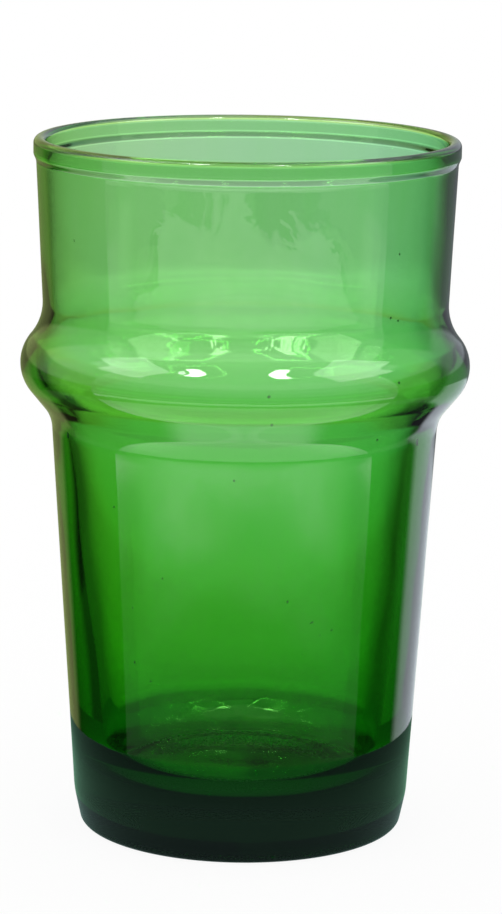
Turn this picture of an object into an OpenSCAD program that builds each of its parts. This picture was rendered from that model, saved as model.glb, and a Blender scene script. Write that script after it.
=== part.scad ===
// Tea glass blown in one piece into a mould: a thick base, a straight lower cup, a waist crease,
// a bulging collar, a neck and a slightly flared upper cup that ends in a fire-polished bead.
// The glass is a body of revolution about Z and stands on Z = 0, so one closed section makes it.
// Every stretch of the section is set by the size of the zone that it belongs to.

/* [Heights] */
// Foot of the glass up to the crease of the waist
lower_h = 55.4; // [46:0.5:67]
// Waist crease up to the widest level of the collar
flare_h = 6.9; // [5.5:0.1:8.5]
// Widest level of the collar up to the neck
shoulder_h = 5.5; // [4.5:0.1:6.6]
// Neck up to the top of the rim
upper_h = 24.2; // [20:0.5:30]

/* [Outside diameters] */
// Diameter of the foot, before its edge is rounded
foot_d = 42.8; // [35:0.5:52]
// Diameter where the foot's soft bevel meets the lower cup
heel_d = 44.7; // [37:0.2:54]
// Diameter at the waist crease, before it is rounded
waist_d = 51.1; // [42:0.1:61]
// Diameter where the two slopes of the collar would meet, before they are rounded
collar_d = 62.3; // [51:0.1:75]
// Diameter at the neck, before it is rounded
neck_d = 53.1; // [44:0.1:64]
// Diameter of the wall just under the rim bead
mouth_d = 55.1; // [45:0.1:66]

/* [Outside roundings] */
// Radius of the foot's edge
foot_round = 1; // [0.8:0.1:1.2]
// Radius of the bend above the foot's bevel
heel_round = 12; // [9.5:0.5:14.5]
// Radius in the crease of the waist
waist_round = 5.4; // [4.5:0.1:7]
// Radius over the widest part of the collar
collar_round = 5.2; // [4.2:0.1:6.3]
// Radius in the hollow of the neck
neck_round = 7.4; // [6:0.1:9]

/* [Walls] */
// Wall beside the foot of the cavity
foot_wall = 4.3; // [3.5:0.1:5.2]
// Wall at the waist
waist_wall = 1.9; // [1.5:0.1:2.4]
// Wall at the widest part of the collar
collar_wall = 1.7; // [1.4:0.1:2.1]
// Wall at the neck
neck_wall = 1.25; // [1:0.05:1.5]
// Wall just under the rim bead
mouth_wall = 1.15; // [0.9:0.05:1.4]

/* [Cavity roundings] */
// Radius inside the collar, gentler than an even wall would give
collar_inside_round = 4.6; // [3.7:0.1:5.6]
// Radius in the lower corner of the cavity
floor_round = 7; // [5.7:0.1:8.4]

/* [Rim bead] */
// Height of the bead, from the crease under it to the top of the glass
bead_h = 3; // [2.4:0.1:3.6]
// How far the bead stands out of the wall outside
bead_out = 0.35; // [0.25:0.05:0.45]
// How far the bead stands into the mouth
bead_in = 0.2; // [0.15:0.05:0.25]
// Height over which the bead swells out of the wall
bead_swell_h = 0.8; // [0.6:0.1:1]
// Radius in the creases under the bead, outside and inside
bead_crease_round = 1.6; // [1.3:0.1:1.9]

/* [Base] */
// Height of the heel bevel above the foot
heel_h = 4.4; // [3.7:0.1:5.4]
// Thickness of the base under the lowest ring of the cavity
base_t = 7.2; // [5.9:0.1:8.6]
// Rise of the cavity floor in its middle
floor_rise = 0.5; // [0.4:0.1:0.6]
// Width of the ring that the glass stands on
stand_w = 4; // [3.2:0.1:4.8]
// Depth of the hollow inside the standing ring
hollow_h = 0.8; // [0.6:0.1:1]

/* [Hidden] */
// Largest step along a rounded corner, in degrees
arc_step = 6;
// Sides of the preview mesh round the axis
$fn = 120;

// Levels above the table
waist_z = lower_h;
collar_z = waist_z + flare_h;
neck_z = collar_z + shoulder_h;
glass_h = neck_z + upper_h;
bead_z = glass_h - bead_h;

// Radii of the outside
foot_r = foot_d / 2;
heel_r = heel_d / 2;
mouth_r = mouth_d / 2;
bead_r = mouth_r + bead_out;

// The bead's round top takes half of its width on each side
bead_w = bead_out + mouth_wall + bead_in;
bead_round = bead_w / 2;

// Places in the base: the outside radius at the cavity's floor, the cavity there, and the stand
side_at_floor_r = heel_r + (waist_d / 2 - heel_r) * (base_t - heel_h) / (waist_z - heel_h);
floor_r = side_at_floor_r - foot_wall;
hollow_r = foot_r - foot_round - stand_w;

// A corner is [radius from the axis, height, rounding]. The outside runs from the foot upwards.
outside = [
    [foot_r, 0, foot_round],
    [heel_r, heel_h, heel_round],
    [waist_d / 2, waist_z, waist_round],
    [collar_d / 2, collar_z, collar_round],
    [neck_d / 2, neck_z, neck_round],
    [mouth_r, bead_z, bead_crease_round]
];

// The bead is a rounded block that grows out of both faces of the wall
bead = [
    [bead_r, bead_z + bead_swell_h, bead_round],
    [bead_r, glass_h, bead_round],
    [bead_r - bead_w, glass_h, bead_round],
    [bead_r - bead_w, bead_z + bead_swell_h, bead_round],
    [mouth_r - mouth_wall, bead_z, bead_crease_round]
];

// The cavity follows the outside one wall further in, so a hollow bend outside gets a wider
// radius inside. In the collar the glass gathers a little on both slopes.
cavity = [
    inset_corner(outside, 4, neck_wall, neck_round + neck_wall),
    inset_corner(outside, 3, collar_wall, collar_inside_round),
    inset_corner(outside, 2, waist_wall, waist_round + waist_wall),
    [floor_r, base_t, floor_round],
    [0, base_t + floor_rise, 0]
];

// The hollow under the base is a flat cone that leaves the standing ring
underside = [
    [0, hollow_h, 0],
    [hollow_r, 0, 0]
];

// Place of a corner without its rounding
function place(corner) = [corner[0], corner[1]];

// Vector of length 1
function unit(v) = v / norm(v);

// Unit vector that points to the left of the way from a to b
function left_of(a, b) = let (u = unit(b - a)) [-u[1], u[0]];

// Corner of a line that runs beside the corners c, a wall's thickness to their left
function inset_corner(c, i, wall, rounding) =
    let (
        p = place(c[i]),
        below = left_of(place(c[i - 1]), p),
        above = left_of(p, place(c[i + 1])),
        mid = unit(below + above),
        inner = p + mid * wall / (mid * below)
    )
    [inner[0], inner[1], rounding];

// Half of the angle between the two sides of a corner
function half_angle(c, i) =
    let (p = place(c[i]), a = unit(place(c[i - 1]) - p), b = unit(place(c[i + 1]) - p))
    acos(max(-1, min(1, a * b))) / 2;

// Length that a corner's full rounding takes off each of its sides
function wanted_cut(c, i) =
    (i == 0 || i == len(c) - 1 || c[i][2] == 0) ? 0 : c[i][2] / tan(half_angle(c, i));

// Share of the wanted cuts that the side after corner i has room for
function room_share(c, i) =
    let (wanted = wanted_cut(c, i) + wanted_cut(c, i + 1))
    wanted == 0 ? 1 : min(1, norm(place(c[i + 1]) - place(c[i])) / wanted);

// One corner as points on an arc that meets both sides smoothly
function corner_points(c, i) =
    wanted_cut(c, i) == 0
        ? [place(c[i])]
        : let (
            p = place(c[i]),
            a = unit(place(c[i - 1]) - p),
            b = unit(place(c[i + 1]) - p),
            half = half_angle(c, i),
            cut = wanted_cut(c, i) * min(room_share(c, i - 1), room_share(c, i)),
            r = cut * tan(half),
            centre = p + unit(a + b) * r / sin(half),
            start = p + a * cut - centre,
            from = atan2(start[1], start[0]),
            way = a[0] * b[1] - a[1] * b[0] > 0 ? -1 : 1,
            sweep = way * (180 - 2 * half),
            steps = max(2, ceil(abs(sweep) / arc_step))
        )
        [for (k = [0 : steps]) let (t = from + sweep * k / steps) centre + r * [cos(t), sin(t)]];

// All corners of a line, rounded
function rounded(c) = [for (i = [0 : len(c) - 1]) for (p = corner_points(c, i)) p];

section = concat(underside, outside, bead, cavity);

module tea_glass() {
    color([0.16, 0.52, 0.14, 0.6])
        rotate_extrude()
            polygon(rounded(section));
}

tea_glass();
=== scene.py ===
# %% [markdown]
# # A green Moroccan tea glass
#
# The real thing is one gather of recycled glass, blown into a mould, cracked off at the top and
# melted smooth there. Nothing is joined to it, so the whole lesson is about one wall of glass:
# its exact section, the small unevenness of hand work, and the light that passes through it.
#
# The packed CAD model comes in first. It fixes where the glass stands and how large it may be.

# %% Load the frame
import math

import bpy
import numpy as np
from mathutils import Matrix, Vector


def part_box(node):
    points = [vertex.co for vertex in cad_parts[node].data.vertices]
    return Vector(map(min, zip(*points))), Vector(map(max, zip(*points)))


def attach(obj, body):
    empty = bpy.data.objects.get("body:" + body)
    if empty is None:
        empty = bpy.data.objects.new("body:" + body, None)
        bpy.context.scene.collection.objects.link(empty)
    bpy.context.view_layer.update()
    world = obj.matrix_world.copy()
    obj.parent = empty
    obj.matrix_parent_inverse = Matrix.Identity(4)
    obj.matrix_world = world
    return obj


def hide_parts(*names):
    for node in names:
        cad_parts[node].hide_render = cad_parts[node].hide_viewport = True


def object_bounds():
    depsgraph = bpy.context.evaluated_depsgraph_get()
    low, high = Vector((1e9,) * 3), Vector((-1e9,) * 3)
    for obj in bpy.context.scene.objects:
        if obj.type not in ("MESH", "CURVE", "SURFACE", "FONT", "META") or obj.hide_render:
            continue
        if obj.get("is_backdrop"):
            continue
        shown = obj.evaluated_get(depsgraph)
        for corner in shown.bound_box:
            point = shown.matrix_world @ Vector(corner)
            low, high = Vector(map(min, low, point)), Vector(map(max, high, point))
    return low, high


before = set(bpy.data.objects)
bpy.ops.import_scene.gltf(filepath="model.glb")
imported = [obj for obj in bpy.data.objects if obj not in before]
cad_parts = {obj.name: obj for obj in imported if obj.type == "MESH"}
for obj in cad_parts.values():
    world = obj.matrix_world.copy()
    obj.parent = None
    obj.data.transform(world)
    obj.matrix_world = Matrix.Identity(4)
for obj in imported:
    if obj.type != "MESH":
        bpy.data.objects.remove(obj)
CAD_BOX = [list(corner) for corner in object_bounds()]
NODE = "tea_glass"
MM = 0.001
foot_corner, rim_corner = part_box(NODE)
GLASS_H = (rim_corner.z - foot_corner.z) / MM
GLASS_W = (rim_corner.x - foot_corner.x) / MM
print("CAD glass:", round(GLASS_H, 2), "mm tall,", round(GLASS_W, 2), "mm wide")

# %% [markdown]
# ## The section
#
# A glass that is round about one axis is fully described by half of its cut: a line that starts under
# the base, climbs the outside, turns over the rim and comes down the cavity. Each corner of that line
# is a radius from the axis, a height and a rounding, all in millimetres, as in the CAD model.
#
# A spline through a handful of points would drift away from the real radii. Straight stretches with
# true arcs between them keep the tight collar and the crisp waist as the mould made them.

# %% Sizes of the section
# Levels, from the foot up
HEEL_Z = 4.4
WAIST_Z = 55.4
COLLAR_Z = WAIST_Z + 6.9
NECK_Z = COLLAR_Z + 5.5
RIM_Z = GLASS_H
BEAD_Z = RIM_Z - 3.0
# Radii of the outside at those levels, and the roundings there
FOOT_R, HEEL_R, WAIST_R, COLLAR_R, NECK_R, MOUTH_R = 21.4, 22.35, 25.55, 31.15, 26.55, 27.55
FOOT_ROUND, HEEL_ROUND, WAIST_ROUND, COLLAR_ROUND, NECK_ROUND = 1.0, 12.0, 5.4, 5.2, 7.4
# Walls, with the collar's own gentler rounding inside
WAIST_WALL, COLLAR_WALL, NECK_WALL, MOUTH_WALL = 1.9, 1.7, 1.25, 1.15
COLLAR_INSIDE_ROUND = 4.6
# The rim bead and the base
BEAD_OUT, BEAD_IN, BEAD_SWELL, BEAD_CREASE = 0.35, 0.2, 0.8, 1.6
BEAD_R = MOUTH_R + BEAD_OUT
BEAD_W = BEAD_OUT + MOUTH_WALL + BEAD_IN
BASE_T, FLOOR_RISE, FLOOR_ROUND, FOOT_WALL = 7.2, 0.5, 7.0, 4.3
FLOOR_R = HEEL_R + (WAIST_R - HEEL_R) * (BASE_T - HEEL_Z) / (WAIST_Z - HEEL_Z) - FOOT_WALL
HOLLOW_R, HOLLOW_H = 16.4, 0.8

UNDERSIDE = [(0, HOLLOW_H, 0), (HOLLOW_R, 0, 0)]
OUTSIDE = [
    (FOOT_R, 0, FOOT_ROUND), (HEEL_R, HEEL_Z, HEEL_ROUND), (WAIST_R, WAIST_Z, WAIST_ROUND),
    (COLLAR_R, COLLAR_Z, COLLAR_ROUND), (NECK_R, NECK_Z, NECK_ROUND), (MOUTH_R, BEAD_Z, BEAD_CREASE),
]
BEAD = [
    (BEAD_R, BEAD_Z + BEAD_SWELL, BEAD_W / 2), (BEAD_R, RIM_Z, BEAD_W / 2),
    (BEAD_R - BEAD_W, RIM_Z, BEAD_W / 2), (BEAD_R - BEAD_W, BEAD_Z + BEAD_SWELL, BEAD_W / 2),
    (MOUTH_R - MOUTH_WALL, BEAD_Z, BEAD_CREASE),
]
print("corners:", len(UNDERSIDE), "underneath,", len(OUTSIDE), "outside,", len(BEAD), "on the bead")

# %% [markdown]
# ## From corners to a smooth line
#
# The cavity isn't drawn by hand. It runs beside the outside at the distance of the wall, so each of its
# corners is found from an outside corner, and a hollow bend gets a wider rounding inside. Then every
# corner becomes an arc that touches both of its sides. Bevelling the finished mesh would do this too,
# but one step later and without a say in where the points go.

# %% Wall thickness and rounded corners
def unit(v):
    """A vector divided by its own length."""
    return v / np.linalg.norm(v)


def inset(corners, i, wall, rounding):
    """The corner of a line that runs beside the given one: along the bisector of the two sides'
    left-hand normals, by the wall divided by the cosine between bisector and normal."""
    before, here, after = (np.array(corners[k][:2], float) for k in (i - 1, i, i + 1))
    below, above = unit(here - before), unit(after - here)
    below, above = np.array([-below[1], below[0]]), np.array([-above[1], above[0]])
    middle = unit(below + above)
    r, z = here + middle * wall / (middle @ below)
    return r, z, rounding


CAVITY = [
    inset(OUTSIDE, 4, NECK_WALL, NECK_ROUND + NECK_WALL),
    inset(OUTSIDE, 3, COLLAR_WALL, COLLAR_INSIDE_ROUND),
    inset(OUTSIDE, 2, WAIST_WALL, WAIST_ROUND + WAIST_WALL),
    (FLOOR_R, BASE_T, FLOOR_ROUND),
    (0, BASE_T + FLOOR_RISE, 0),
]


def rounded(corners, step=1.0):
    """A line of straight stretches and arcs. Each corner's arc touches both of its sides at
    rounding / tan(half angle) from the corner; where two arcs want more than a side has,
    both shrink by the same share."""
    places = np.array([c[:2] for c in corners], float)
    roundings = np.array([c[2] for c in corners], float)
    sides = np.diff(places, axis=0)
    lengths = np.linalg.norm(sides, axis=1)
    ways = sides / lengths[:, None]
    turn = np.arccos(np.clip((ways[:-1] * ways[1:]).sum(1), -1, 1))
    half = (np.pi - turn) / 2
    cut = np.r_[0, roundings[1:-1] / np.tan(half), 0]
    share = np.minimum(1, lengths / np.maximum(cut[:-1] + cut[1:], 1e-9))
    cut[1:-1] *= np.minimum(share[:-1], share[1:])
    line = [places[:1]]
    for i in range(1, len(places) - 1):
        r = cut[i] * np.tan(half[i - 1])
        to_centre = unit(ways[i] - ways[i - 1])
        centre = places[i] + to_centre * r / np.sin(half[i - 1])
        start = places[i] - ways[i - 1] * cut[i] - centre
        side = np.sign(ways[i - 1][0] * ways[i][1] - ways[i - 1][1] * ways[i][0])
        steps = max(2, int(np.ceil(np.degrees(turn[i - 1]) / step)))
        angle = np.arctan2(start[1], start[0]) + side * turn[i - 1] * np.linspace(0, 1, steps + 1)
        line.append(centre + r * np.stack([np.cos(angle), np.sin(angle)], 1))
    line.append(places[-1:])
    return np.vstack(line)


def paced(line, longest=1.0, bend=math.radians(3.0)):
    """The same line with points where they are needed: a step ends when its length over the
    longest step plus its turn over the largest bend adds up to one."""
    apart = np.linalg.norm(np.diff(line, axis=0), axis=1) > 1e-6
    line = line[np.r_[True, apart]]
    sides = np.diff(line, axis=0)
    lengths = np.linalg.norm(sides, axis=1)
    heading = np.unwrap(np.arctan2(sides[:, 1], sides[:, 0]))
    turning = np.abs(np.diff(heading, prepend=heading[0], append=heading[-1]))
    effort = np.r_[0, np.cumsum(lengths / longest + (turning[:-1] + turning[1:]) / 2 / bend)]
    count = int(np.ceil(effort[-1]))
    at = np.linspace(0, effort[-1], count + 1)
    return np.stack([np.interp(at, effort, line[:, k]) for k in (0, 1)], 1)


section = paced(rounded(UNDERSIDE + OUTSIDE + BEAD + CAVITY))
top_row = int(section[:, 1].argmax())
widest, highest = section.max(0)
print("section:", len(section), "points, radius", round(widest, 2), "mm, top at", round(highest, 2), "mm")

# %% [markdown]
# ## The wall of glass
#
# Spinning the section with a Screw modifier would give a perfect, lifeless body. Here the spin is
# written out as arrays instead: every column of points is the section at one angle. That lets both
# faces of the wall swell and thin a little, as they do where hot glass meets a mould: the cavity by a
# twentieth of a millimetre on the whole and three times that at most, the outside by less than half
# as much. Straight lights bend in such a wall.

# %% Waves of hand-blown glass
# Columns round the axis: as many as keep the body under 200,000 triangles
TURNS = 212


def waves(angle, height, seed, count, round_most, up_most):
    """A smooth random field on the wall: a sum of sines that run a whole number of times round the
    glass and up to a given number of radians per millimetre up it, with a mean square of a half."""
    draw = np.random.default_rng(seed)
    around = draw.integers(0, round_most + 1, count)
    up = draw.uniform(-up_most, up_most, count)
    phase = draw.uniform(0, 2 * np.pi, count)
    strength = draw.uniform(0.4, 1.0, count)
    field = np.zeros(np.broadcast(angle, height).shape)
    for turns, rise, start, share in zip(around, up, phase, strength):
        field += share * np.sin(turns * angle + rise * height + start)
    return field / np.sqrt((strength ** 2).sum())


LONG_WAVES = dict(count=14, round_most=5, up_most=0.16)
SHORT_WAVES = dict(count=26, round_most=17, up_most=0.5)
CAVITY_LONG, CAVITY_SHORT = 0.07, 0.012
MOULD_LONG, MOULD_SHORT = 0.018, 0.006

# The waves begin some rows away from the top of the rim and reach their height over some more
CALM_ROWS, RISING_ROWS = 25, 30.0
# They end over the middle of the cavity's floor, and over the lowest stretch of the outside
CALM_MIDDLE_R, FOOT_Z, FOOT_RISE = 12.0, 2.0, 6.0

from_top = np.arange(len(section)) - top_row
off_middle = np.clip(section[:, 0] / CALM_MIDDLE_R, 0, 1)
cavity_share = np.clip((from_top - CALM_ROWS) / RISING_ROWS, 0, 1) * off_middle
above_foot = np.clip((section[:, 1] - FOOT_Z) / FOOT_RISE, 0, 1)
mould_share = np.clip((-from_top - CALM_ROWS) / RISING_ROWS, 0, 1) * above_foot


def both_waves(angle, z, seeds, long_size, short_size):
    """Long waves times their size plus short waves times theirs."""
    long_seed, short_seed = seeds
    return (
        long_size * waves(angle, z, long_seed, **LONG_WAVES)
        + short_size * waves(angle, z, short_seed, **SHORT_WAVES))


def uneven(angle, z):
    """Millimetres by which each face stands off its true radius: long and short waves, faded out
    at the rim, the foot and the axis. The outside is moved inwards by both of its sizes, so it passes
    its true radius in few places, and there by a hundredth of a millimetre."""
    cavity = both_waves(angle, z, (11, 12), CAVITY_LONG, CAVITY_SHORT)
    mould = both_waves(angle, z, (13, 14), MOULD_LONG, MOULD_SHORT)
    below = MOULD_LONG + MOULD_SHORT
    return cavity * cavity_share[None, :] + (mould - below) * mould_share[None, :]


some_angles = np.linspace(0, 2 * np.pi, 48)[:, None]
stand_off = uneven(some_angles, np.repeat(section[None, :, 1], len(some_angles), 0))
print("unevenness: from", stand_off.min().round(3), "to", stand_off.max().round(3), "mm")

# %% [markdown]
# ## A skin without holes
#
# Each column of the grid is joined to the next, and the last one to the first, so no seam is left. The
# first and last rows all lie on the axis. There they become one point each with a fan round it, or the
# body would have a pinhole in its base and in its cavity. A body that is closed and faces outwards
# is what lets light know when it is inside the glass.

# %% Rings into a closed mesh
def spin(line, turns, bulge):
    """Points of the line turned round the axis: x = r cos(angle), y = r sin(angle), z = height,
    where the bulge adds to r what it gives for each angle and row."""
    angle = np.linspace(0, 2 * np.pi, turns, endpoint=False)[:, None]
    z = np.repeat(line[None, :, 1], turns, 0)
    r = line[None, :, 0] + bulge(angle, z)
    return np.stack([r * np.cos(angle), r * np.sin(angle), z], 2)


def smooth_mesh(name, points, faces):
    """A mesh with soft shading from points in millimetres and lists of corner numbers."""
    mesh = bpy.data.meshes.new(name)
    mesh.from_pydata((points * MM).tolist(), [], faces)
    mesh.validate()
    mesh.shade_smooth()
    return mesh


def closed_spin_mesh(name, grid):
    """A mesh whose first and last rows are single points on the axis, with quads between the
    columns and fans at the two poles, all wound to face away from the glass."""
    turns, rows = grid.shape[:2]
    ring = rows - 2
    body = grid[:, 1:-1].reshape(-1, 3)
    poles = grid[:, [0, -1]].mean(0)
    t = np.arange(turns)[:, None]
    k = np.arange(ring - 1)[None, :]
    here, beside = t * ring + k, (t + 1) % turns * ring + k
    quads = np.stack([here, beside, beside + 1, here + 1], 2).reshape(-1, 4)
    low, low_beside = t[:, 0] * ring, (t[:, 0] + 1) % turns * ring
    first_pole, last_pole = np.full(turns, len(body)), np.full(turns, len(body) + 1)
    first_fan = np.stack([first_pole, low_beside, low], 1)
    last_fan = np.stack([last_pole, low + ring - 1, low_beside + ring - 1], 1)
    faces = quads.tolist() + first_fan.tolist() + last_fan.tolist()
    return smooth_mesh(name, np.vstack([body, poles]), faces)


print("helpers ready for a body of", TURNS, "columns and", len(section), "rows")

# %% [markdown]
# ## Proof by volume
#
# A body that is inside out can look right from outside and still bend light the wrong way. Its volume
# tells, because it comes out negative. Blender can measure that too; the sum is written out here
# because it is short and shows where the sign comes from. Then a piece gets its place in the scene,
# on the body of the part.

# %% Volume and place
ML_PER_M3 = 1e6


def volume_ml(mesh):
    """Signed volume in millilitres: the sum over triangles of a . (b x c) / 6. Positive means
    outward faces."""
    mesh.calc_loop_triangles()
    index = np.zeros(len(mesh.loop_triangles) * 3, int)
    mesh.loop_triangles.foreach_get("vertices", index)
    places = np.zeros(len(mesh.vertices) * 3)
    mesh.vertices.foreach_get("co", places)
    a, b, c = (places.reshape(-1, 3)[index.reshape(-1, 3)[:, k]] for k in range(3))
    return (a * np.cross(b, c)).sum() / 6 * ML_PER_M3


def add_piece(name, mesh):
    """An object at the origin that rides with the glass and takes its finish from its slot."""
    piece = bpy.data.objects.new(name, mesh)
    bpy.context.scene.collection.objects.link(piece)
    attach(piece, "root")
    return piece


print("helpers ready to measure a body and to place a piece")

# %% [markdown]
# ## The glass itself
#
# Everything is in place for the one real piece. It stands in for the plain CAD body, rides with it,
# and is weighed: a tea glass of this size comes to about a hundred grams, which is a quick test of
# the walls.

# %% The glass itself
GRAMS_PER_ML = 2.5
glass_mesh = closed_spin_mesh("blown_glass", spin(section, TURNS, uneven))
glass = add_piece("blown_glass", glass_mesh)
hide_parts(NODE)
glass_ml = volume_ml(glass_mesh)
print("glass:", len(glass_mesh.polygons), "faces,", round(glass_ml, 1), "ml, about",
      round(glass_ml * GRAMS_PER_ML), "g")

# %% [markdown]
# ## Seeds in the wall
#
# Recycled glass is never quite clean. Small dark stones and drawn-out specks stay in the melt, and the
# eye reads them as hand-made glass at once. A maker calls a tiny bubble a seed and a grain a stone;
# here every speck is called a seed. Each is a tiny pointed ellipsoid that lies wholly inside the
# wall. Noise in the material could darken such spots too, but they would sit on the surface and not
# in the glass. The plain ones are scattered by a seeded draw, over the sides and the back. The ones
# that catch the eye from the front are listed one by one.

# %% One speck
SEED_RINGS, SEED_SIDES = 6, 8
# Angle from the front in degrees, height, length along the wall, width, tilt in degrees
MARKED_SEEDS = [
    (22, 32.5, 0.63, 0.132, 60), (29, 31.2, 0.49, 0.108, 65), (25, 30.7, 0.35, 0.09, 40),
    (14, 35.5, 0.35, 0.21, 0), (-25, 38.0, 0.28, 0.18, 0), (-36, 33.5, 0.28, 0.18, 20),
    (-42, 46.5, 0.35, 0.21, 0), (-36, 26.2, 0.35, 0.18, 0), (-30, 24.0, 0.28, 0.18, 0),
    (41, 56.0, 0.35, 0.27, 0), (44, 71.5, 0.42, 0.24, 20), (47, 71.0, 0.35, 0.24, 0),
    (42, 63.6, 0.35, 0.27, 0), (6, 63.0, 0.35, 0.24, 60), (7, 59.4, 0.35, 0.24, 0),
    (-64, 54.4, 1.05, 0.66, 10), (62, 54.2, 1.19, 0.66, -20),
]
SCATTERED = 14
# Millimetres from the outside to the middle of a seed, and the most that a seed measures across the wall
SEED_DEPTH = 0.55
THICKEST_SEED = 0.45
# Exponent that pulls an ellipsoid's ends into points
TAPER = 1.4


def outside_radius(z):
    """Radius of the outside at a height, from the rows of the section below the rim."""
    rows = section[np.argmax(section[:, 0] > FOOT_R - 1):top_row]
    return np.interp(z, rows[:, 1], rows[:, 0])


def speck(from_front, z, length, width, tilt):
    """An ellipsoid with tapered ends: rings at height cos(t) with radius sin(t) to the power of the
    taper, drawn out along the wall, pressed flat across it, and sunk under the outside of the glass."""
    t = np.linspace(0, np.pi, SEED_RINGS + 1)[:, None]
    a = np.linspace(0, 2 * np.pi, SEED_SIDES, endpoint=False)[None, :]
    round_here = np.sin(t) ** TAPER
    along = np.cos(t) * length / 2 + 0 * a
    across = round_here * np.cos(a) * width / 2
    deep = round_here * np.sin(a) * min(width, THICKEST_SEED) / 2
    lean = math.radians(tilt)
    up = along * math.cos(lean) - across * math.sin(lean)
    side = along * math.sin(lean) + across * math.cos(lean)
    turn = math.radians(from_front - 90)
    r = outside_radius(z) - SEED_DEPTH + deep
    x = r * math.cos(turn) - side * math.sin(turn)
    y = r * math.sin(turn) + side * math.cos(turn)
    return np.stack([x, y, z + up], 2)


print("one speck:", speck(*MARKED_SEEDS[0]).shape[0] - 2, "rings and two ends, with", SEED_SIDES, "sides")

# %% [markdown]
# ## All specks in one mesh
#
# An object for each of them would clutter the model, and copies of a single one would look alike. So
# each speck keeps its own shape, and all share one mesh: quads join the rings of a speck, and a fan
# closes each of its ends.

# %% Specks into one mesh
def seed_mesh(name, grids):
    """All specks in one mesh: each grid is closed with quads round its rings and fans at its ends."""
    points, faces = [], []
    for grid in grids:
        base = sum(len(p) for p in points)
        rows, sides = grid.shape[:2]
        ring = grid[1:-1].reshape(-1, 3)
        points.append(np.vstack([ring, grid[0, :1], grid[-1, :1]]))
        j = np.arange(sides)
        after = (j + 1) % sides
        for i in range(rows - 3):
            upper, lower = base + i * sides, base + (i + 1) * sides
            faces += np.stack([upper + after, lower + after, lower + j, upper + j], 1).tolist()
        top, bottom = base + len(ring), base + len(ring) + 1
        last = (rows - 3) * sides
        faces += np.stack([np.full(sides, top), base + after, base + j], 1).tolist()
        faces += np.stack([np.full(sides, bottom), base + last + j, base + last + after], 1).tolist()
    return smooth_mesh(name, np.vstack(points), faces)


draw = np.random.default_rng(5)
# In the order of the table above, but with the width as a share of the length
angles, heights, lengths, flatness, tilts = (
    draw.uniform(low, high, SCATTERED)
    for low, high in ((75, 285), (12, 84), (0.175, 0.42), (0.343, 0.771), (-60, 60)))
scattered = list(zip(angles, heights, lengths, lengths * flatness, tilts))
seeds_mesh = seed_mesh("seeds", [speck(*mark) for mark in MARKED_SEEDS + scattered])
add_piece("seeds", seeds_mesh)
print("seeds:", len(MARKED_SEEDS) + SCATTERED, "specks,", len(seeds_mesh.polygons), "faces,",
      round(volume_ml(seeds_mesh) * 1000, 1), "cubic millimetres")

# %% [markdown]
# ## Shader sums written as sums
#
# A shader graph is arithmetic, and it reads best as arithmetic. This small class holds one output
# socket and turns Python's operators into Math nodes, so a mask is written as `1 - mask`.

# %% A socket that can be added and multiplied
class Wire:
    """One output socket of a shader tree. Sums and products of wires and numbers add Math nodes."""

    def __init__(self, tree, socket=None):
        self.tree = tree
        self.socket = socket

    def node(self, kind, settings=None, out=0, **feeds):
        """Add a node of any kind: its settings first, then values or wires for its sockets, where
        i0, i1 and so on name sockets by number and Some_Name names one in words."""
        made = self.tree.nodes.new(kind)
        for name, value in (settings or {}).items():
            setattr(made, name, value)
        for name, value in feeds.items():
            by_number = name[0] == "i" and name[1:].isdigit()
            socket = made.inputs[int(name[1:]) if by_number else name.replace("_", " ")]
            if isinstance(value, Wire):
                self.tree.links.new(value.socket, socket)
            else:
                socket.default_value = value
        return Wire(self.tree, made.outputs[out])

    def twin(self, out):
        """Another output of the node that this wire comes from."""
        return Wire(self.tree, self.socket.node.outputs[out])

    def math(self, operation, *values):
        """Any operation of the Math node on wires and numbers, given in the node's own order."""
        feeds = {f"i{k}": value for k, value in enumerate(values)}
        return self.node("ShaderNodeMath", {"operation": operation}, **feeds)

    def __add__(self, other): return self.math("ADD", self, other)
    def __radd__(self, other): return self.math("ADD", other, self)
    def __sub__(self, other): return self.math("SUBTRACT", self, other)
    def __rsub__(self, other): return self.math("SUBTRACT", other, self)
    def __mul__(self, other): return self.math("MULTIPLY", self, other)
    def __rmul__(self, other): return self.math("MULTIPLY", other, self)
    def __truediv__(self, other): return self.math("DIVIDE", self, other)
    def __rtruediv__(self, other): return self.math("DIVIDE", other, self)
    def __abs__(self): return self.math("ABSOLUTE", self)
    def larger(self, other): return self.math("MAXIMUM", self, other)

    def ramp(self, low, high, to_low=0.0, to_high=1.0):
        """Smooth rise from to_low at low to to_high at high."""
        settings = {"interpolation_type": "SMOOTHSTEP", "clamp": True}
        return self.node("ShaderNodeMapRange", settings, i0=self, i1=low, i2=high, i3=to_low, i4=to_high)

    def along(self, direction):
        """Dot product of a vector wire with a direction."""
        return self.node("ShaderNodeVectorMath", {"operation": "DOT_PRODUCT"}, out=1, i0=self, i1=direction)

    def blend(self, low, high):
        """Mix of two colours by this wire: the first at 0, the second at 1."""
        return self.node("ShaderNodeMix", {"data_type": "RGBA"}, out=2, i0=self, i6=low, i7=high)

    def tint(self, low_colour, high_colour):
        """The same from two plain triples of red, green and blue."""
        return self.blend((*low_colour, 1), (*high_colour, 1))

    def away(self, other):
        """Length of the vector whose two parts are this wire and another."""
        squares = self * self + other * other
        return squares.math("SQRT", squares)

    def into(self, socket):
        """Feed a shader's socket."""
        self.tree.links.new(self.socket, socket)


def new_look(name):
    """A material with an empty Principled shader, and a wire that adds nodes to it."""
    look = bpy.data.materials.new(name)
    look.use_nodes = True
    return look, look.node_tree.nodes["Principled BSDF"], Wire(look.node_tree)


print("ways to add nodes:", ", ".join(name for name in vars(Wire) if name[0] != "_"))

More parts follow.
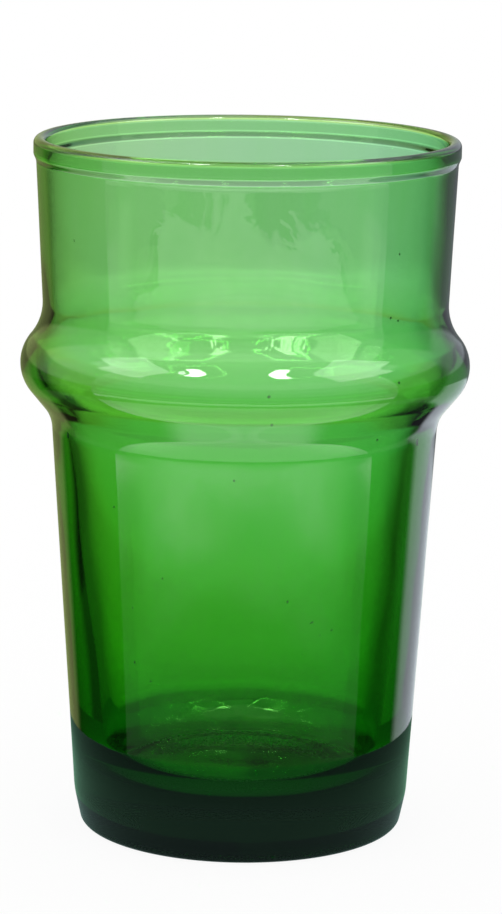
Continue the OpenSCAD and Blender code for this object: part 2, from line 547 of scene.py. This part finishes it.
# %% [markdown]
# ## Clear green glass
#
# The melt is coloured right through by traces of metal, so nothing is painted on. A ray
# loses light along every millimetre that it travels inside, most of it blue and red: a thin rim looks
# pale and the thick foot nearly black, from one and the same glass.
#
# A green surface colour would make the rim as dark as the foot. So the surface stays almost white,
# only with faint cords drawn out along the height, and the colour sits in the volume. The ring that
# the glass stands on is worn matt by years on tables.

# %% Green glass
# Rates at which a metre of glass takes red, green and blue: what is left falls as exp(-rate x metres)
LOST = np.array([500.0, 136.0, 610.0])
RIM_PATH, FOOT_PATH = 0.0024, 0.014
glass_look, shader, wire = new_look("green_recycled_glass")
place = wire.node("ShaderNodeTexCoord", out=3)
height = wire.node("ShaderNodeSeparateXYZ", out=2, i0=place)
streaks = wire.node("ShaderNodeMapping", {"vector_type": "POINT"}, i0=place, i3=(1, 1, 0.12))
cords = wire.node("ShaderNodeTexNoise", i0=streaks, Scale=420.0, Detail=3.0)
cast = cords.ramp(0.35, 0.75).tint((1, 1, 1), (0.97, 1.0, 0.96))
wear = wire.node("ShaderNodeTexNoise", i0=place, Scale=2600.0, Detail=2.0).ramp(0.35, 0.6, 0.1, 0.35)
# Full wear where the ring touches the table, none from 0.4 mm up
stand_worn = height.ramp(0.05 * MM, 0.4 * MM, 1.0, 0.0) * wear
cast.into(shader.inputs["Base Color"])
stand_worn.into(shader.inputs["Roughness"])
shader.inputs["IOR"].default_value = 1.52
shader.inputs["Transmission Weight"].default_value = 1.0
absorb = wire.tree.nodes.new("ShaderNodeVolumeAbsorption")
absorb.inputs["Color"].default_value = (*(1 - LOST / LOST.max()), 1)
absorb.inputs["Density"].default_value = LOST.max()
wire.tree.links.new(absorb.outputs[0], wire.tree.nodes["Material Output"].inputs["Volume"])
glass_mesh.materials.append(glass_look)
for path in (RIM_PATH, FOOT_PATH):
    print("light left after", round(path / MM, 1), "mm of glass:", np.exp(-LOST * path).round(3))

# %% [markdown]
# ## The seeds' own colour
#
# Each speck stands for a grain of sand or brick that never melted, wrapped in glass. It is dull and
# darker than the wall, and takes a green cast from the glass around it. Fine grain keeps it from
# looking like a printed dot.

# %% Seeds
seed_look, shader, wire = new_look("dark_seed")
place = wire.node("ShaderNodeTexCoord", out=3)
grain = wire.node("ShaderNodeTexNoise", i0=place, Scale=5000.0, Detail=2.0)
grain.tint((0.01, 0.11, 0.03), (0.03, 0.2, 0.06)).into(shader.inputs["Base Color"])
grain.ramp(0.3, 0.7, 0.25, 0.5).into(shader.inputs["Roughness"])
seeds_mesh.materials.append(seed_look)
print("finishes:", glass_look.name, "and", seed_look.name)

# %% [markdown]
# ## The table
#
# The glass stands on a plain pale sheet that runs on without an edge. Lit evenly, matt paper alone
# would turn out grey and end in a horizon. So most of what the camera sees of it is plain white, and
# the rest is real paper, which keeps the soft shadow of the glass. The glass itself must not mirror
# or bend this sheet: what it sees below the horizon belongs to the light that is set up further on.

# %% Floor
CIRCLE_SIDES = 128
CIRCLE = np.arange(CIRCLE_SIDES)


def ring(radius, height):
    """Points of a level circle round the axis."""
    turn = 2 * np.pi * CIRCLE / CIRCLE_SIDES
    return np.stack([radius * np.cos(turn), radius * np.sin(turn), np.full(CIRCLE_SIDES, height)], 1)


def stage_sheet(name, points, faces, look, for_glass):
    """A sheet of the set. One that is there for the glass is met only by rays that the glass has
    mirrored or bent, and any other only by the rest of the rays."""
    mesh = bpy.data.meshes.new(name)
    mesh.from_pydata((points * MM).tolist(), [], faces)
    mesh.materials.append(look)
    sheet = bpy.data.objects.new(name, mesh)
    bpy.context.scene.collection.objects.link(sheet)
    sheet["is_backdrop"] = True
    sheet.visible_camera = sheet.visible_diffuse = sheet.visible_shadow = not for_glass
    sheet.visible_glossy = sheet.visible_transmission = for_glass
    print("set:", name, len(faces), "faces")


def surface(wire, result):
    """Let a shader wire be the surface of its material."""
    result.into(wire.tree.nodes["Material Output"].inputs["Surface"])


PLAIN_SHARE = 0.92
FLOOR_R_MM, FLOOR_Z = 600, -0.05
paper, shader, wire = new_look("floor_paper")
shader.inputs["Base Color"].default_value = (0.97, 0.97, 0.97, 1)
shader.inputs["Roughness"].default_value = 0.9
by_camera = wire.node("ShaderNodeLightPath")
plain = wire.node("ShaderNodeEmission", i0=(1, 1, 1, 1), i1=1.0)
real = Wire(wire.tree, shader.outputs[0])
surface(wire, wire.node("ShaderNodeMixShader", i0=by_camera * PLAIN_SHARE, i1=real, i2=plain))
stage_sheet("floor", ring(FLOOR_R_MM, FLOOR_Z), [CIRCLE.tolist()], paper, for_glass=False)

# %% [markdown]
# ## The glass's own shadow, as the glass sees it
#
# A thick green foot lets almost no light down to the table under it, and the foot looks into that
# dark patch. This is what makes the base of such a glass so deep. The patch is a round sheet of
# painted shadow: dark up to the foot, open at once in front, and fading slowly behind, where the
# shadow falls. A low dark wall round the foot, lower behind it, is painted shade for the narrow place
# between its bevel and the table.

# %% Shade on the table
SHADE_R, SHADOW_R, SHEET_Z = 125, 25.9, -0.1
# Radius from which the table is open in front, and by how much the shade begins nearer to the axis
# and ends further out behind the glass, all in millimetres
OPEN_R, BEGINS_NEARER, ENDS_FURTHER = 26.5, 5.4, 54.0
# Height of the dark wall behind the foot and before it, and the azimuths between which it changes
LOW_WALL, HIGH_WALL = 6.0, 12.0
LOW_FROM, HIGH_UP_TO = 130, 115
# Colour of the dark wall, which is painted shade with a dim green glow, and its brightness at its
# lower and its upper level
GLOOM = np.array([0.4, 0.9, 0.6])
LOWER_Z, LOWER_LEVEL, UPPER_Z, UPPER_LEVEL = 4.0, 0.42, 12.0, 0.22

shaded, _, wire = new_look("table_in_shadow")
x = wire.node("ShaderNodeSeparateXYZ", i0=wire.node("ShaderNodeTexCoord", out=3))
y = x.twin(1)
from_axis = x.away(y)
rearward = (y / from_axis).larger(0.0)
open_share = from_axis.ramp(
    SHADOW_R * MM - rearward * (BEGINS_NEARER * MM), OPEN_R * MM + rearward * (ENDS_FURTHER * MM))
# Painted shadow: the sheet glows faintly green where the table lies in shade, and is clear where it is open
faint = wire.node("ShaderNodeEmission", i0=(0.6, 1.0, 0.9, 1), i1=0.25)
surface(wire, wire.node("ShaderNodeMixShader", i0=open_share, i1=faint, i2=wire.node("ShaderNodeBsdfTransparent")))
stage_sheet("shade", ring(SHADE_R, SHEET_Z), [CIRCLE.tolist()], shaded, for_glass=True)

dim, _, wire = new_look("foot_in_shadow")
upward = wire.node("ShaderNodeSeparateXYZ", out=2, i0=wire.node("ShaderNodeTexCoord", out=3))
green_gloom = upward.ramp(LOWER_Z * MM, UPPER_Z * MM).tint(GLOOM * LOWER_LEVEL, GLOOM * UPPER_LEVEL)
surface(wire, wire.node("ShaderNodeEmission", i0=green_gloom, i1=1.0))
top = ring(SHADOW_R, LOW_WALL)
from_front = np.degrees(np.abs(np.arctan2(top[:, 0], -top[:, 1])))
top[:, 2] += (HIGH_WALL - LOW_WALL) * np.clip((LOW_FROM - from_front) / (LOW_FROM - HIGH_UP_TO), 0, 1)
beside = (CIRCLE + 1) % CIRCLE_SIDES
round_foot = np.stack([CIRCLE, beside, CIRCLE_SIDES + beside, CIRCLE_SIDES + CIRCLE], 1).tolist()
stage_sheet("foot_shadow", np.vstack([ring(SHADOW_R, SHEET_Z), top]), round_foot, dim, for_glass=True)

# %% [markdown]
# ## Light by direction
#
# Glass has hardly any look of its own. It shows what is behind it, bent and dimmed, and a few percent
# of what is in front of it, mirrored. Those are two different pictures of the room, so the world is
# written as tables of brightness over elevation: one for rays that only pass through, and some for
# rays that were mirrored at least once, by the side of the room that they end on. Every other ray
# finds plain white, which lights the paper.
#
# A lit room picture could do the same, but could not be read or changed. Tables can.

# %% Directions
world = bpy.data.worlds.new("studio")
bpy.context.scene.world = world
world.use_nodes = True
sky = Wire(world.node_tree)
x = sky.node("ShaderNodeSeparateXYZ", i0=sky.node("ShaderNodeTexCoord", out=0))
y, z = x.twin(1), x.twin(2)
level = x.away(y)
rightward, behind = x / level, y / level
# Elevation over the horizon, and azimuth from the front, to the right positive, both in degrees
lift = z.math("ARCSINE", z) * math.degrees(1)
turned = x.math("ARCTAN2", x, y * -1.0) * math.degrees(1)
aside = abs(turned)
on_right = x.ramp(-0.02, 0.02)

ray = sky.node("ShaderNodeLightPath")
in_glass = ray.twin("Is Glossy Ray").larger(ray.twin("Is Transmission Ray"))
mirror_count, walls_passed = ray.twin("Glossy Depth"), ray.twin("Transmission Depth")
bounced = mirror_count.math("MINIMUM", mirror_count, 1.0)
passing = in_glass * (1 - bounced)


def levels(start, *steps):
    """A level that starts with one brightness and changes smoothly between two elevations to the
    next, for each (from, to, brightness) in rising order."""
    total, now = start, start
    for low, high, value in steps:
        total = lift.ramp(low, high, 0.0, value - now) + total
        now = value
    return total


print("world nodes so far:", len(sky.tree.nodes))

# %% [markdown]
# ## What lies behind
#
# Seen through the glass: a table that is dark close to the glass and brightest a little further out,
# a pale backdrop that changes only gently about eye level, and a dimmer room high up. It is bright
# only within some twenty degrees of straight back. Rays that the thick lower wall throws further
# aside find less, which draws the dark bands along both sides of the lower cup.

# %% Through the glass
behind_level = levels(
    0.35, (-45, -35, 0.5), (-28, -25, 1.15), (-21.4, -19.8, 0.95), (-19.4, -18.6, 0.84), (-17.4, -16.4, 0.95),
    (-14.5, -12.8, 0.91), (-9.8, -8.8, 0.76), (-4, -1.5, 1.0), (1.5, 5, 0.8), (7, 11, 0.42), (32, 40, 0.8))
# Degrees off straight back, a little wider on the right
off_back = 180 - aside + on_right * 3.0
through = behind_level * (off_back.ramp(9, 24, 1.0, 0.3 - on_right * 0.12) + off_back.ramp(60, 85, 0.0, 0.7))
# The left side of the room is warmer than the right, and the light near the table is warmer too
side_cast = rightward.ramp(-0.3, 0.3).tint((0.92, 0.97, 0.72), (0.6, 0.94, 1.12))
low_cast = (lift.ramp(-18.5, -14.5, 1.0, 0.0) * passing).tint((1, 1, 1), (1.3, 1.0, 0.7))
print("world nodes so far:", len(sky.tree.nodes))

# %% [markdown]
# ## What is mirrored in front
#
# The upper cup mirrors a strip of the room only two degrees high, stretched over its whole wall. A
# bright cloth hangs there with two lobes and a ragged edge. Waves in its edge come from a noise that
# moves quickly with elevation, because the wall draws elevation out so much. Further aside the room
# is dimmer, and a paler strip ends it where the side of the room begins.

# %% Mirrored front
ragged = sky.node("ShaderNodeCombineXYZ", i0=turned * 0.14, i1=lift * 6.0)
ragged = sky.node("ShaderNodeTexNoise", {"noise_dimensions": "2D"}, i0=ragged, Scale=1.0, Detail=3.0) - 0.5
# The cloth, with its two lobes: 0 above its ragged edge and 1 below it
waving = ragged * 30.0 + turned
left_lobe = waving.ramp(-50, -46) * waving.ramp(-2, 8, 1.0, 0.0)
right_lobe = waving.ramp(20, 28) * waving.ramp(48, 52, 1.0, 0.0)
cloth_top = left_lobe * 0.75 + right_lobe * 0.5 + ragged * 0.7
cloth = (lift - cloth_top).ramp(-13.65, -13.5, 1.0, 0.0)
cloth_level = levels(
    1.6, (-75, -60, 1.5), (-25.6, -24.2, 0.15), (-22.5, -21.5, 0.2), (-21.2, -20, 0.5), (-20, -18.6, 1.75),
    (-17, -15.8, 2.1), (-14.9, -13.9, 1.1))
above_cloth = levels(
    0.0, (-13.6, -13.5, 0.03), (-6.5, -4.5, 0.7), (0, 4, 0.8), (8, 14, 0.35), (48, 56, 1.2), (60, 68, 0.9))
middle_level = cloth_level * cloth * (ragged * 0.5 + 1.0) + above_cloth
outer_level = levels(
    1.9, (-42, -27, 1.3), (-26, -24, 0.2), (-19, -17, 0.66), (-15.4, -14.8, 0.4), (-11.6, -10.4, 0.9),
    (-8.5, -7.5, 0.58), (2, 8, 1.07), (12, 18, 1.4), (23, 28, 2.1), (38, 45, 1.7))
# The dimmer room further aside, its pale strip, and where it takes over from the cloth
edge_light = aside.ramp(62, 72) * lift.ramp(-15.6, -15.2) * lift.ramp(-12.4, -12.0, 1.0, 0.0) * 0.45
cloth_side = (lift + 12.8) * -21.0 + 44.0 + ragged * 24.0
low_share = aside.ramp(35, 75) * lift.ramp(-17.8, -16.8, 1.0, 0.0)
outer_share = (aside - cloth_side).ramp(-1.0, 1.0).larger(low_share)
front_level = middle_level * (1 - outer_share) + (outer_level + edge_light) * outer_share
print("world nodes so far:", len(sky.tree.nodes))

# %% [markdown]
# ## Sides and back of the room
#
# Near its outline the glass mirrors the sides of the room, and right at the outline what is behind
# it. Dark sides give the glass its crisp dark edges. The step from the front to the dark side is what
# draws the straight panel edges down the lower cup. Straight down all zones meet on the table, so
# they share one brightness there.

# %% Mirrored sides and back
# Brightness straight down, the same on every side
ON_TABLE = 1.5
left_side = levels(
    ON_TABLE, (-76, -66, 0.06), (-32, -28, 0.13), (-22.5, -21.9, 0.015), (-14, -10, 0.1), (-2, 2, 0.6),
    (18, 22, 1.3), (38, 42, 2.5))
right_side = levels(
    ON_TABLE, (-76, -66, 0.06), (-32, -28, 0.2), (-22.5, -21.9, 0.015), (-2, 2, 0.19), (18, 22, 0.7), (38, 42, 1.7))
left_back = levels(ON_TABLE, (-76, -66, 0.05), (-32, -28, 0.42), (-14, -10, 0.29), (-2, 2, 0.63), (18, 22, 1.2))
right_back = levels(ON_TABLE, (-76, -66, 0.05), (-32, -28, 0.95), (-13, -11.5, 0.2), (-2, 2, 0.6), (38, 42, 1.3))
side_level = left_side * (1 - on_right) + right_side * on_right
back_level = left_back * (1 - on_right) + right_back * on_right * walls_passed.ramp(0.4, 0.6, 1.0, 0.4)
is_side = aside.ramp(82.6, 83.6)
is_back = (aside + on_right * 16.0).ramp(136, 146)
mirrored = front_level * (1 - is_side) + side_level * (is_side - is_back) + back_level * is_back
mirrored_cast = rightward.ramp(-0.3, 0.3).tint((0.8, 1.0, 0.35), (0.9, 1.0, 1.08))
print("world nodes so far:", len(sky.tree.nodes))

# %% [markdown]
# ## Lamps
#
# Two square lamps stand left and right of the camera, and two tall windows further aside. The collar
# bulges towards them and mirrors all four. The near wall mirrors them small, so only the lamps'
# bright cores tell. The hollow far wall mirrors them larger, with the small bulbs round their edges.
#
# Real lamps would also light the paper and put noise into the glass. As part of the world they are
# seen by mirrored rays alone, and counting the walls that a ray has passed tells the two walls apart.

# %% Lamps and windows
WAY = sky.node("ShaderNodeCombineXYZ", i0=x, i1=y, i2=z)


def facing_lamp(azimuth, elevation):
    """Across and upward distance from a lamp's middle on a plane that faces it, and a mask that
    is 1 on its side of the sky."""
    a, e = math.radians(azimuth), math.radians(elevation)
    at = np.array([math.sin(a) * math.cos(e), -math.cos(a) * math.cos(e), math.sin(e)])
    side = unit(np.cross([0, 0, 1], at))
    toward = WAY.along(at.tolist())
    across = WAY.along(side.tolist()) / toward
    upward = WAY.along(np.cross(at, side).tolist()) / toward
    return across, upward, toward.ramp(0.5, 0.6)


def core(azimuth, elevation, half_w, half_h):
    """A plain bright block: 1 where both distances are under their halves, with a soft edge."""
    across, upward, mask = facing_lamp(azimuth, elevation)
    off = abs(across / half_w).larger(abs(upward / half_h))
    return off.ramp(0.8, 1.0, 1.0, 0.0) * mask


# Radians of the sines for each unit of distance: the higher, the closer the dots
BULB_PITCH = 150.0


def bulbs(azimuth, elevation, half_w, half_h):
    """A frame of dots: the product of two sines, kept where it is high and near the edge."""
    across, upward, mask = facing_lamp(azimuth, elevation)
    edge = abs(across / half_w).larger(abs(upward / half_h))
    columns, rows = across * BULB_PITCH, upward * BULB_PITCH
    dots = columns.math("SINE", columns) * rows.math("SINE", rows)
    return edge.ramp(0.78, 0.82) * edge.ramp(0.98, 1.0, 1.0, 0.0) * dots.ramp(0.1, 0.5) * mask


# A ray that the far wall mirrors has passed more walls than one that the near wall mirrors
far_wall = walls_passed.ramp(2.4, 2.6)
within = walls_passed.ramp(1.4, 1.6, 0.0, 0.25) + far_wall * 0.75
window_height = lift.ramp(36, 37) * lift.ramp(60, 61, 1.0, 0.0)
windows = (aside + on_right * 7.0).ramp(62, 63) * aside.ramp(97, 99, 1.0, 0.0) * window_height
# Azimuth, elevation, half width and half height of each light
near_lamps = core(-41, 62, 0.055, 0.1) + core(-53, 63, 0.025, 0.06) * 0.4 + core(29, 62, 0.055, 0.1)
far_lamps = bulbs(-34, 55, 0.21, 0.26) + bulbs(44, 55, 0.21, 0.26)
clusters = core(-46, 57, 0.06, 0.12) + core(56, 57, 0.06, 0.12)
WINDOW_LIGHT, CORE_LIGHT, BULB_LIGHT, CLUSTER_LIGHT = 3.0, 28.0, 70.0, 8.0
lamps = (
    windows * (1 - far_wall) * WINDOW_LIGHT + near_lamps * (1 - within) * CORE_LIGHT
    + far_lamps * within * BULB_LIGHT + clusters * far_wall * CLUSTER_LIGHT)
print("world nodes so far:", len(sky.tree.nodes))

# %% [markdown]
# ## All of the light together
#
# The background shader takes one strength and one colour. Strength picks the passing or the mirrored
# picture by how the ray came here, and is 1 for all others. Colour does the same with the casts.

# %% World
seen = through * (1 - bounced) + (mirrored + lamps) * bounced
strength = in_glass * seen + (1 - in_glass)
cast = (in_glass * behind.ramp(0.3, 0.8)).blend((1, 1, 1, 1), bounced.blend(side_cast, mirrored_cast))
cast = sky.node("ShaderNodeVectorMath", {"operation": "MULTIPLY"}, i0=cast, i1=low_cast)
background = sky.tree.nodes["Background"]
cast.into(background.inputs["Color"])
strength.into(background.inputs["Strength"])
print("world nodes in all:", len(sky.tree.nodes))

# %% [markdown]
# ## The camera
#
# It stands 48 cm from the glass and a little above the rim, tipped down by eleven degrees and rolled
# by less than one. So near a camera looks down on the foot more steeply than on the rim: the mouth
# shows as a flat ellipse and the foot as a rounder one. A longer lens from further away would show
# both alike. Distance, height, tilt and lens were found together with the section, from the outline.

# %% Camera
# Place in millimetres, angles in radians, lens and frame height in pixels of the photograph
CAM_BACK, CAM_UP, CAM_SIDE = 480.0, 146.8, 0.92
CAM_PITCH, CAM_ROLL = 0.2, math.radians(0.7)
FOCAL_PX, FRAME_H_PX = 7.699 * CAM_BACK, 914.0
camera_data = bpy.data.cameras.new("camera")
camera_data.sensor_fit = "VERTICAL"
camera_data.sensor_height = 24.0
camera_data.lens = camera_data.sensor_height * FOCAL_PX / FRAME_H_PX
camera_data.clip_start = 0.01
camera = bpy.data.objects.new("camera", camera_data)
bpy.context.scene.collection.objects.link(camera)
camera.location = (CAM_SIDE * MM, -CAM_BACK * MM, CAM_UP * MM)
tipped = Matrix.Rotation(math.pi / 2 - CAM_PITCH, 3, "X")
camera.rotation_euler = (tipped @ Matrix.Rotation(CAM_ROLL, 3, "Z")).to_euler()
bpy.context.scene.camera = camera
print("camera:", round(camera_data.lens, 1), "mm lens on a", camera_data.sensor_height, "mm high frame")

# %% [markdown]
# ## Measure and finish
#
# The dressed glass must stay inside the box of the CAD model, so both boxes are written down for
# comparison before the scene is closed.

# %% Finish
bpy.context.scene.view_settings.view_transform = "Standard"
bpy.context.view_layer.update()
DRESSED_BOX = [list(corner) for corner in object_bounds()]
for title, box in (("CAD model", CAD_BOX), ("dressed glass", DRESSED_BOX)):
    print("box of the", title + ":", np.round(box, 5).tolist())
